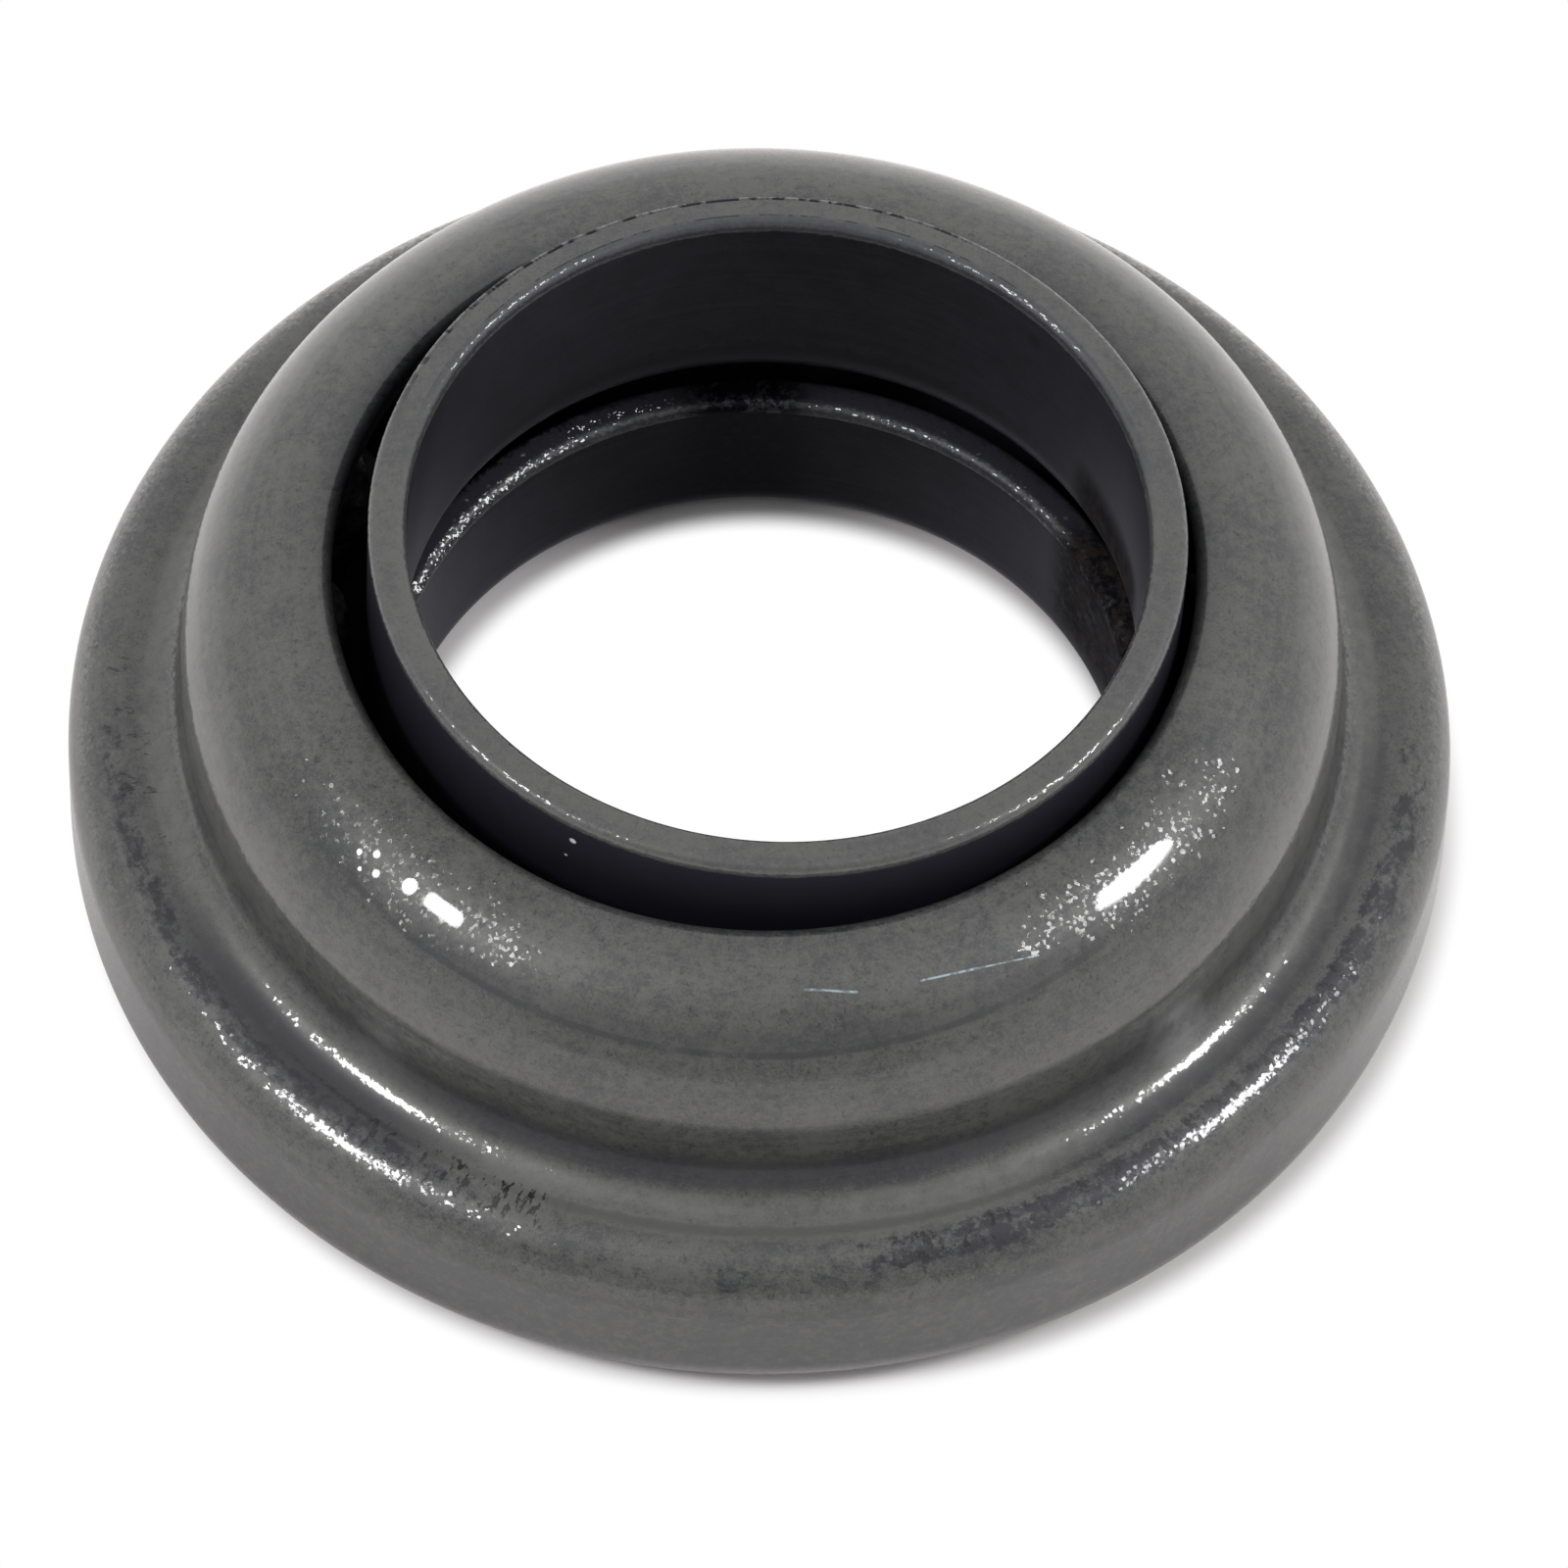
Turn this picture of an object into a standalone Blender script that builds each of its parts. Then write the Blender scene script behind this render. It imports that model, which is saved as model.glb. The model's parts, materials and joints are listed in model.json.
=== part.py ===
"""Steering column bearing, modelled at real size in metres, +Z up.

A drawn shell with a domed top and a deep rimmed flange is the outer race. A flared sleeve stands up
through the dome and is the inner race. Balls in a crown cage roll between the dome and the flare, and
a retainer with a raised collar closes the shell from below, trapped by the shell's turned-in lip.

The origin is the middle of the base plane that the bearing rests on. Every round piece is a section
in (radius, height) spun about its own axis. Sizes are chained from the shaft bore outwards, so each
piece follows the ones it fits.
"""

import math

import bmesh
import bpy

# Sleeve, from the bore that takes the shaft
BORE_DIAMETER = 0.02256
SLEEVE_WALL = 0.00116
SLEEVE_RISE = 0.0019
FLARE_ANGLE = math.radians(60.0)
EDGE_ROUND = 0.0002

# Balls and the clearance that every running piece keeps
BALL_DIAMETER = 0.003572
BALL_HEIGHT = 0.00975
CONTACT_ANGLE = math.radians(20.0)
RUNNING_GAP = 0.0003

# Outer shell
SHELL_SHEET = 0.0011
DOME_BEND = 0.00352
HOLE_GAP = 0.00090
FILLET = 0.0015
FLANGE_HEIGHT = 0.0064
LAND_WIDTH = 0.0003
RIM_BEND = 0.0008
RIM_LIFT = 0.00013
LIP_WIDTH = 0.0040

# Retainer that closes the shell from below
RETAINER_SHEET = 0.0011
RETAINER_BEND = 0.0002
STEP_ANGLE = math.radians(45.0)
COLLAR_EASE = 0.0001
COLLAR_GAP = 0.0006

# Cage, a ring below the balls with fingers that reach up between them
FINGER_WIDTH = 0.00085
CAGE_INSIDE = 0.0004
CAGE_OUTSIDE = 0.0013
CAGE_FLOOR = 0.0009
FINGER_REACH = 0.0007
CAGE_CHAMFER = 0.0002

# How the loose inner race lies in its play when no shaft loads it
PLAY_SHIFT = 0.00027
PLAY_DROP = 0.00015
PLAY_TILT = math.radians(1.2)
CAGE_SHARE = 0.5

# Colour and roughness of each steel
SHELL_STEEL = ((0.135, 0.135, 0.128), 0.42)
RACE_STEEL = ((0.150, 0.150, 0.145), 0.40)
CAGE_STEEL = ((0.30, 0.30, 0.30), 0.45)
BALL_STEEL = ((0.60, 0.60, 0.61), 0.12)

# Facets
ROUND_STEPS = 54
DOME_STEPS = 8
TRACK_STEPS = 4
CORNER_STEPS = 4
EDGE_STEPS = 2
BALL_SEGMENTS = 12
BALL_RINGS = 8
SMOOTH_ANGLE = math.radians(35.0)
SAME_POINT = 0.000002

# Radii that follow, from the bore outwards
BORE_RADIUS = BORE_DIAMETER / 2
BALL_RADIUS = BALL_DIAMETER / 2
TRACK_RADIUS = BALL_RADIUS + RUNNING_GAP
SLEEVE_RADIUS = BORE_RADIUS + SLEEVE_WALL
PITCH_RADIUS = SLEEVE_RADIUS + TRACK_RADIUS
HOLE_RADIUS = SLEEVE_RADIUS + HOLE_GAP
DOME_ROUND = DOME_BEND + SHELL_SHEET
DOME_CENTRE_R = PITCH_RADIUS - (DOME_BEND - TRACK_RADIUS) * math.cos(CONTACT_ANGLE)
DOME_RADIUS = DOME_CENTRE_R + DOME_ROUND
FOOT_RADIUS = DOME_RADIUS + FILLET
RIM_RADIUS = FOOT_RADIUS + LAND_WIDTH
RIM_ROUND = RIM_BEND + SHELL_SHEET
FLANGE_RADIUS = RIM_RADIUS + RIM_ROUND
LIP_RADIUS = FLANGE_RADIUS - LIP_WIDTH
COLLAR_RADIUS = BORE_RADIUS + COLLAR_EASE
BALL_COUNT = int(math.tau * PITCH_RADIUS / (2 * TRACK_RADIUS + FINGER_WIDTH))

# Heights that follow
DOME_CENTRE_Z = BALL_HEIGHT - (DOME_BEND - TRACK_RADIUS) * math.sin(CONTACT_ANGLE)
DOME_TOP = DOME_CENTRE_Z + DOME_ROUND
SLEEVE_TOP = DOME_TOP + SLEEVE_RISE + PLAY_DROP
FLARE_DEPTH = (TRACK_RADIUS + SLEEVE_WALL) * math.sin(FLARE_ANGLE)
FLARE_LOW = BALL_HEIGHT - PLAY_DROP - FLARE_DEPTH - PITCH_RADIUS * math.sin(PLAY_TILT)
COLLAR_TOP = FLARE_LOW - COLLAR_GAP


def arc(centre, radius, start, stop, steps):
    """Points on a circle from one angle to another, in degrees, measured up from the +radius side."""
    points = []
    for step in range(steps + 1):
        angle = math.radians(start + (stop - start) * step / steps)
        points.append((centre[0] + radius * math.cos(angle), centre[1] + radius * math.sin(angle)))
    return points


def without_repeats(points):
    """The same outline with each point that repeats the one before it left out."""
    kept = []
    for point in points:
        if not kept or math.dist(point, kept[-1]) > SAME_POINT:
            kept.append(point)
    if math.dist(kept[0], kept[-1]) <= SAME_POINT:
        kept.pop()
    return kept


def steel(name, look):
    """A bare or blackened steel from its colour and roughness, fully metallic."""
    colour, roughness = look
    material = bpy.data.materials.new(name)
    material.use_nodes = True
    shader = material.node_tree.nodes["Principled BSDF"]
    shader.inputs["Base Color"].default_value = (*colour, 1.0)
    shader.inputs["Roughness"].default_value = roughness
    shader.inputs["Metallic"].default_value = 1.0
    return material


def add_object(name, mesh, material, parent=None):
    """Put a mesh in the scene as one named piece, shaded smooth where its faces turn gently."""
    mesh.materials.clear()
    mesh.materials.append(material)
    mesh.shade_smooth()
    mesh.set_sharp_from_angle(angle=SMOOTH_ANGLE)
    piece = bpy.data.objects.new(name, mesh)
    piece.parent = parent
    bpy.context.collection.objects.link(piece)
    return piece


def add_axis(name, share):
    """An empty on the axis of a loose piece, carrying its share of the play."""
    axis = bpy.data.objects.new(name, None)
    axis.location = (PLAY_SHIFT * share, 0.0, BALL_HEIGHT - PLAY_DROP * share)
    axis.rotation_euler = (0.0, PLAY_TILT * share, 0.0)
    bpy.context.collection.objects.link(axis)
    return axis


def spun_mesh(name, section, lift=0.0):
    """Spin a closed (radius, height) section once round the Z axis into a closed ring."""
    outline = without_repeats(section)
    work = bmesh.new()
    verts = [work.verts.new((radius, 0.0, height - lift)) for radius, height in outline]
    edges = [work.edges.new((verts[i - 1], verts[i])) for i in range(len(verts))]
    bmesh.ops.spin(
        work,
        geom=verts + edges,
        cent=(0.0, 0.0, 0.0),
        axis=(0.0, 0.0, 1.0),
        angle=math.tau,
        steps=ROUND_STEPS,
        use_merge=True,
    )
    bmesh.ops.recalc_face_normals(work, faces=work.faces[:])
    mesh = bpy.data.meshes.new(name)
    work.to_mesh(mesh)
    work.free()
    return mesh


def dome_skin(radius):
    """The dome's curve at one skin, from the hole's edge round to the plain wall."""
    reach = min(max((HOLE_RADIUS - DOME_CENTRE_R) / radius, 0.0), 1.0)
    start = math.degrees(math.acos(reach))
    curve = arc((DOME_CENTRE_R, DOME_CENTRE_Z), radius, start, 0.0, DOME_STEPS)
    return [(HOLE_RADIUS, curve[0][1])] + curve


def shell_skin(inset):
    """One skin of the drawn sheet, from the hole over fillet, land and rim to the lip's end."""
    foot = (FOOT_RADIUS, FLANGE_HEIGHT + FILLET)
    rim_top = (RIM_RADIUS, FLANGE_HEIGHT - RIM_ROUND)
    rim_low = (RIM_RADIUS, RIM_LIFT + RIM_ROUND)
    skin = dome_skin(DOME_ROUND - inset)
    skin += arc(foot, FILLET + inset, 180.0, 270.0, CORNER_STEPS)
    skin += arc(rim_top, RIM_ROUND - inset, 90.0, 0.0, CORNER_STEPS)
    skin += arc(rim_low, RIM_ROUND - inset, 0.0, -90.0, CORNER_STEPS)
    skin.append((LIP_RADIUS, RIM_LIFT + inset))
    return skin


def shell_section():
    """The outer race's sheet: its outer skin down to the lip, then its inner skin back up."""
    return shell_skin(0.0) + shell_skin(SHELL_SHEET)[::-1]


def edge_arcs(radius, sheet, top):
    """The top of an upright wall: its inner and its outer rounded edge, with a flat land between."""
    height = top - EDGE_ROUND
    inner = arc((radius + EDGE_ROUND, height), EDGE_ROUND, 90.0, 180.0, EDGE_STEPS)
    outer = arc((radius + sheet - EDGE_ROUND, height), EDGE_ROUND, 0.0, 90.0, EDGE_STEPS)
    return inner, outer


def retainer_section():
    """Collar, bottom corner and plate, stepped up at its edge to lie on the shell's lip."""
    mitre = RETAINER_SHEET * math.tan(STEP_ANGLE / 2)
    step = RIM_LIFT + SHELL_SHEET + RUNNING_GAP
    step_end = LIP_RADIUS - RUNNING_GAP
    step_start = step_end - step / math.tan(STEP_ANGLE)
    inner_edge, outer_edge = edge_arcs(COLLAR_RADIUS, RETAINER_SHEET, COLLAR_TOP)
    corner = RETAINER_BEND + RETAINER_SHEET
    bend = (COLLAR_RADIUS + corner, corner)
    under = inner_edge + arc(bend, corner, 180.0, 270.0, CORNER_STEPS)
    under += [(step_start, 0.0), (step_end, step), (RIM_RADIUS, step)]
    over = [(RIM_RADIUS, step + RETAINER_SHEET), (step_end - mitre, step + RETAINER_SHEET)]
    over.append((step_start - mitre, RETAINER_SHEET))
    over += arc(bend, RETAINER_BEND, 270.0, 180.0, EDGE_STEPS)
    return under + over + outer_edge


def inner_race_section():
    """A sleeve whose foot flares under the balls, at one wall from top to foot."""
    centre = (PITCH_RADIUS, BALL_HEIGHT)
    stop = 180.0 + math.degrees(FLARE_ANGLE)
    inner_edge, outer_edge = edge_arcs(BORE_RADIUS, SLEEVE_WALL, SLEEVE_TOP)
    bore_side = arc(centre, TRACK_RADIUS + SLEEVE_WALL, 180.0, stop, TRACK_STEPS)
    track_side = arc(centre, TRACK_RADIUS, stop, 180.0, TRACK_STEPS)
    return inner_edge + bore_side + track_side + outer_edge


def cage_section():
    """The cage before its pockets are cut: a chamfered band from below the balls to the fingertips."""
    inside = PITCH_RADIUS - CAGE_INSIDE
    outside = PITCH_RADIUS + CAGE_OUTSIDE
    bottom = BALL_HEIGHT - TRACK_RADIUS - CAGE_FLOOR
    top = BALL_HEIGHT + FINGER_REACH
    cut = CAGE_CHAMFER
    return [
        (inside, top), (inside, bottom + cut), (inside + cut, bottom),
        (outside - cut, bottom), (outside, bottom + cut), (outside, top - cut), (outside - cut, top),
    ]


def ball_mesh(name, radius):
    """A ball about its own centre."""
    work = bmesh.new()
    bmesh.ops.create_uvsphere(work, u_segments=BALL_SEGMENTS, v_segments=BALL_RINGS, radius=radius)
    mesh = bpy.data.meshes.new(name)
    work.to_mesh(mesh)
    work.free()
    return mesh


def ball_place(index):
    """Angle and centre of one ball, evenly spaced round the pitch circle."""
    angle = math.tau * index / BALL_COUNT
    return angle, (PITCH_RADIUS * math.cos(angle), PITCH_RADIUS * math.sin(angle), 0.0)


def cut_pockets(cage, axis, material):
    """Cut one round pocket for each ball out of the cage."""
    work = bmesh.new()
    for index in range(BALL_COUNT):
        angle, place = ball_place(index)
        made = bmesh.ops.create_uvsphere(
            work, u_segments=BALL_SEGMENTS, v_segments=BALL_RINGS, radius=TRACK_RADIUS)
        bmesh.ops.translate(work, verts=made["verts"], vec=place)
    mesh = bpy.data.meshes.new("pocket_cutters")
    work.to_mesh(mesh)
    work.free()
    cutters = add_object("pocket_cutters", mesh, material, axis)
    cutters.hide_render = True
    cutters.display_type = "WIRE"
    pockets = cage.modifiers.new("pockets", "BOOLEAN")
    pockets.operation = "DIFFERENCE"
    pockets.solver = "EXACT"
    pockets.object = cutters


def add_balls(axis, material):
    """Every ball, each turned so that its own Z axis is the line it rolls about."""
    mesh = ball_mesh("ball", BALL_RADIUS)
    for index in range(BALL_COUNT):
        angle, place = ball_place(index)
        ball = add_object(f"ball_{index + 1:02d}", mesh, material, axis)
        ball.location = place
        ball.rotation_euler = (0.0, -CONTACT_ANGLE, angle)


def build():
    """Every piece of the bearing, in its place."""
    shell_steel = steel("blackened_shell", SHELL_STEEL)
    race_steel = steel("blackened_sleeve", RACE_STEEL)
    cage_steel = steel("cage_steel", CAGE_STEEL)
    ball_steel = steel("ball_steel", BALL_STEEL)

    add_object("outer_race", spun_mesh("outer_race", shell_section()), shell_steel)
    add_object("lower_retainer", spun_mesh("lower_retainer", retainer_section()), shell_steel)

    sleeve_axis = add_axis("sleeve_axis", 1.0)
    sleeve = spun_mesh("inner_race", inner_race_section(), BALL_HEIGHT)
    add_object("inner_race", sleeve, race_steel, sleeve_axis)

    cage_axis = add_axis("cage_axis", CAGE_SHARE)
    cage_mesh = spun_mesh("ball_cage", cage_section(), BALL_HEIGHT)
    cage = add_object("ball_cage", cage_mesh, cage_steel, cage_axis)
    cut_pockets(cage, cage_axis, cage_steel)
    add_balls(cage_axis, ball_steel)


for old in list(bpy.data.objects):
    bpy.data.objects.remove(old)
build()
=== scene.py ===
import json
import math

import bpy
import numpy as np
from mathutils import Matrix, Vector


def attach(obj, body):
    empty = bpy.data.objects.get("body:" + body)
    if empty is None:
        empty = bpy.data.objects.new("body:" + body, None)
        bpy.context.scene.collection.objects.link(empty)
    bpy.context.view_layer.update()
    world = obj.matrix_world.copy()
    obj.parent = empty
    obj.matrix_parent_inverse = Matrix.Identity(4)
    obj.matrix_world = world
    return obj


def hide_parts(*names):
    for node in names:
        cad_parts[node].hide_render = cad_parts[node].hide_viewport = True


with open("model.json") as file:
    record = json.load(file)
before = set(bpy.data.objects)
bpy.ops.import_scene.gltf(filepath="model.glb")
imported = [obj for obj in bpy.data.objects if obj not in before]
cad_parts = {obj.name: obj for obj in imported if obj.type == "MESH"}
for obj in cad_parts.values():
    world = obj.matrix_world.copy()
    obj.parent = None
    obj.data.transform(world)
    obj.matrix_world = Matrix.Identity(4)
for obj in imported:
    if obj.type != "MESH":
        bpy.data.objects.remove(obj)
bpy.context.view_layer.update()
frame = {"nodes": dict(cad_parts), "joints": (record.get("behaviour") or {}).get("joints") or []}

# The looks of a steering column bearing in metres, +Z up. The visible pressings are fine surfaces of
# revolution over the CAD solids. The balls and the cage inside stay CAD nodes with better materials,
# darkened as painted shade.

# Sizes repeated from the part's source
BORE_RADIUS = 0.01128
SLEEVE_WALL = 0.00116
BALL_HEIGHT = 0.00975
TRACK_RADIUS = 0.002086
PITCH_RADIUS = 0.014526
FLARE_ANGLE = 60.0
SLEEVE_TOP = 0.01593
SHEET = 0.0011
DOME_CENTRE = (0.013178, 0.009260)
DOME_ROUND = 0.00462
FILLET = 0.0015
FOOT_RADIUS = 0.019298
FLANGE_HEIGHT = 0.0064
RIM_ROUND = 0.0019
RIM_LIFT = 0.00013
LIP_RADIUS = 0.017498
COLLAR_RADIUS = 0.01138
COLLAR_TOP = 0.005885
EDGE_ROUND = 0.0002
RETAINER_BEND = 0.0002
GAP = 0.0003

# Sizes fitted closer to the photograph than the part's: the rim, the edges and the bore's straight stretch
RIM_RADIUS = 0.01948
HOLE_RADIUS = 0.01315
HOLE_EDGE = 0.00045
SLEEVE_EDGE = 0.0003
BORE_EDGE = 0.00034
COLLAR_EDGE = 0.00034
FLARE_DROP = 0.0005

# A ring's steps around, the angle from which an edge stays sharp, and how close two points are one
AROUND = 400
SHARP_ANGLE = math.radians(35.0)
SAME_POINT = 0.0000001

# A millimetre in metres, and the frame's CAD nodes and joints by name
MM = 0.001
NODES = frame["nodes"]
JOINT = {joint["name"]: joint for joint in frame["joints"]}


# Sections and surfaces

def arc(centre, radius, start, stop, steps):
    """Points centre + radius times (cos a, sin a), with a running evenly from start to stop in degrees."""
    angle = np.radians(np.linspace(start, stop, steps + 1))
    return np.column_stack((centre[0] + radius * np.cos(angle), centre[1] + radius * np.sin(angle)))


def line(start, stop, steps):
    """Points spaced evenly on the straight line between two (radius, height) points, without its ends."""
    share = np.linspace(0.0, 1.0, steps + 1)[1:-1, None]
    return (1.0 - share) * np.asarray(start) + share * np.asarray(stop)


def revolved(name, section, wobble, lean=None):
    """Closed ring: point (u, v) is the section's point v, (r, z), turned to (r cos u, r sin u, z).

    wobble(u, r, z) pushes each point along the section's own outward normal. lean is a 4 by 4 matrix
    that sets the ring on a tilted axis.
    """
    section = np.asarray(section, float)
    step = np.roll(section, -1, axis=0) - section
    section = section[np.hypot(step[:, 0], step[:, 1]) > SAME_POINT]
    area = np.sum(section[:, 0] * np.roll(section[:, 1], -1) - np.roll(section[:, 0], -1) * section[:, 1])
    if area < 0.0:
        section = section[::-1]
    forward = np.roll(section, -1, axis=0) - np.roll(section, 1, axis=0)
    normal = np.column_stack((forward[:, 1], -forward[:, 0]))
    normal /= np.linalg.norm(normal, axis=1)[:, None]
    count = len(section)
    turn = np.linspace(0.0, math.tau, AROUND, endpoint=False)[:, None]
    push = wobble(turn, section[None, :, 0], section[None, :, 1])
    radius = section[None, :, 0] + push * normal[None, :, 0]
    height = section[None, :, 1] + push * normal[None, :, 1]
    points = np.stack((radius * np.cos(turn), radius * np.sin(turn), height), axis=-1).reshape(-1, 3)
    first = np.arange(AROUND)[:, None] * count + np.arange(count)[None, :]
    along = np.roll(first, -1, axis=1)
    faces = np.stack((first, np.roll(first, -1, axis=0), np.roll(along, -1, axis=0), along), axis=-1)
    mesh = bpy.data.meshes.new(name)
    mesh.from_pydata(points, [], faces.reshape(-1, 4))
    if lean is not None:
        mesh.transform(lean)
    mesh.shade_smooth()
    mesh.set_sharp_from_angle(angle=SHARP_ANGLE)
    piece = bpy.data.objects.new(name, mesh)
    bpy.context.scene.collection.objects.link(piece)
    return piece


def waves(seed, size, rounds, reach):
    """A wobble: the sum of cosines of n u + a r + b z + c, with n a whole number so that it closes.

    size is the push in metres, rounds the largest n, reach the shortest wave along r or along z in metres.
    """
    draw = np.random.default_rng(seed)
    count = 24
    n = draw.integers(1, rounds + 1, count)
    a, b = draw.uniform(-math.tau / reach, math.tau / reach, (2, count))
    c = draw.uniform(0.0, math.tau, count)

    def push(u, r, z):
        phase = n * u[..., None] + a * r[..., None] + b * z[..., None] + c
        return size * np.cos(phase).sum(axis=-1) / math.sqrt(count)

    return push


def shell_skin(inset):
    """One skin of the drawn sheet: dome arc, wall, fillet arc, land, then the rim's two arcs and the lip.

    The outer skin begins with the hole's rounded edge, the inner skin at the hole's own radius. The inner
    skin is hidden, so its arcs have half as many steps.
    """
    edge, fine = (HOLE_EDGE, 2) if inset == 0.0 else (0.0, 1)
    reach = DOME_ROUND - inset - edge
    start = math.acos((HOLE_RADIUS + edge - DOME_CENTRE[0]) / reach)
    centre = (HOLE_RADIUS + edge, DOME_CENTRE[1] + reach * math.sin(start))
    start = math.degrees(start)
    hole = arc(centre, edge, 180.0, start, 14) if edge else np.empty((0, 2))
    dome = arc(DOME_CENTRE, DOME_ROUND - inset, start, 0.0, 22 * fine)
    foot = arc((FOOT_RADIUS, FLANGE_HEIGHT + FILLET), FILLET + inset, 180.0, 270.0, 10 * fine)
    rim_top = arc((RIM_RADIUS, FLANGE_HEIGHT - RIM_ROUND), RIM_ROUND - inset, 90.0, 0.0, 11 * fine)
    rim_low = arc((RIM_RADIUS, RIM_LIFT + RIM_ROUND), RIM_ROUND - inset, 0.0, -90.0, 9 * fine)
    wall = line(dome[-1], foot[0], 5)
    land = line(foot[-1], rim_top[0], 3)
    side = line(rim_top[-1], rim_low[0], 8)
    return np.vstack((hole, dome, wall, foot, land, rim_top, side, rim_low, [(LIP_RADIUS, RIM_LIFT + inset)]))


def shell_section():
    """The outer race's closed section: its outer skin down to the lip, then its inner skin back up."""
    return np.vstack((shell_skin(0.0), shell_skin(SHEET)[::-1]))


def edge_arcs(radius, sheet, top, bore_edge, outer_edge):
    """The rounded inner and outer edge on top of an upright wall, with a flat land between them."""
    inner = arc((radius + bore_edge, top - bore_edge), bore_edge, 90.0, 180.0, 14)
    outer = arc((radius + sheet - outer_edge, top - outer_edge), outer_edge, 0.0, 90.0, 12)
    return inner, outer


def retainer_section():
    """The retainer's closed section: rounded collar, bottom corner, plate and the step on to the lip."""
    mitre = SHEET * math.tan(math.radians(22.5))
    step = RIM_LIFT + SHEET + GAP
    step_end = LIP_RADIUS - GAP
    edge_in, edge_out = edge_arcs(COLLAR_RADIUS, SHEET, COLLAR_TOP, COLLAR_EDGE, EDGE_ROUND)
    corner = RETAINER_BEND + SHEET
    bend = (COLLAR_RADIUS + corner, corner)
    corner_out = arc(bend, corner, 180.0, 270.0, 14)
    corner_in = arc(bend, RETAINER_BEND, 270.0, 180.0, 6)
    plate = [(step_end - step, 0.0), (step_end, step), (RIM_RADIUS, step), (RIM_RADIUS, step + SHEET),
             (step_end - mitre, step + SHEET), (step_end - step - mitre, SHEET)]
    wall_in = line(edge_in[-1], corner_out[0], 10)
    wall_out = line(corner_in[-1], edge_out[0], 10)
    return np.vstack((edge_in, wall_in, corner_out, plate, corner_in, wall_out, edge_out))


def sleeve_section():
    """The sleeve's closed section about the ball height: rounded top edge, straight tube, flared foot.

    The bore stays straight a little below the ball height, so its flare is the track's arc pressed flatter.
    """
    stop = 180.0 + FLARE_ANGLE
    top = SLEEVE_TOP - BALL_HEIGHT
    edge_in, edge_out = edge_arcs(BORE_RADIUS, SLEEVE_WALL, top, BORE_EDGE, SLEEVE_EDGE)
    flare_in = arc((PITCH_RADIUS, 0.0), TRACK_RADIUS + SLEEVE_WALL, 180.0, stop, 18)
    flare_in[:, 1] = flare_in[:, 1] * (1.0 + FLARE_DROP / flare_in[-1, 1]) - FLARE_DROP
    flare_out = arc((PITCH_RADIUS, 0.0), TRACK_RADIUS, stop, 180.0, 18)
    tube_in = line(edge_in[-1], flare_in[0], 14)
    tube_out = line(flare_out[-1], edge_out[0], 14)
    return np.vstack((edge_in, tube_in, flare_in, flare_out, tube_out, edge_out))


def lean_of(joint):
    """Where a hinge's axis stands: its place and the turn that carries +Z on to it."""
    turn = Vector((0.0, 0.0, 1.0)).rotation_difference(Vector(joint["axis"]))
    return Vector(joint["pos_m"]), turn


# Materials

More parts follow.
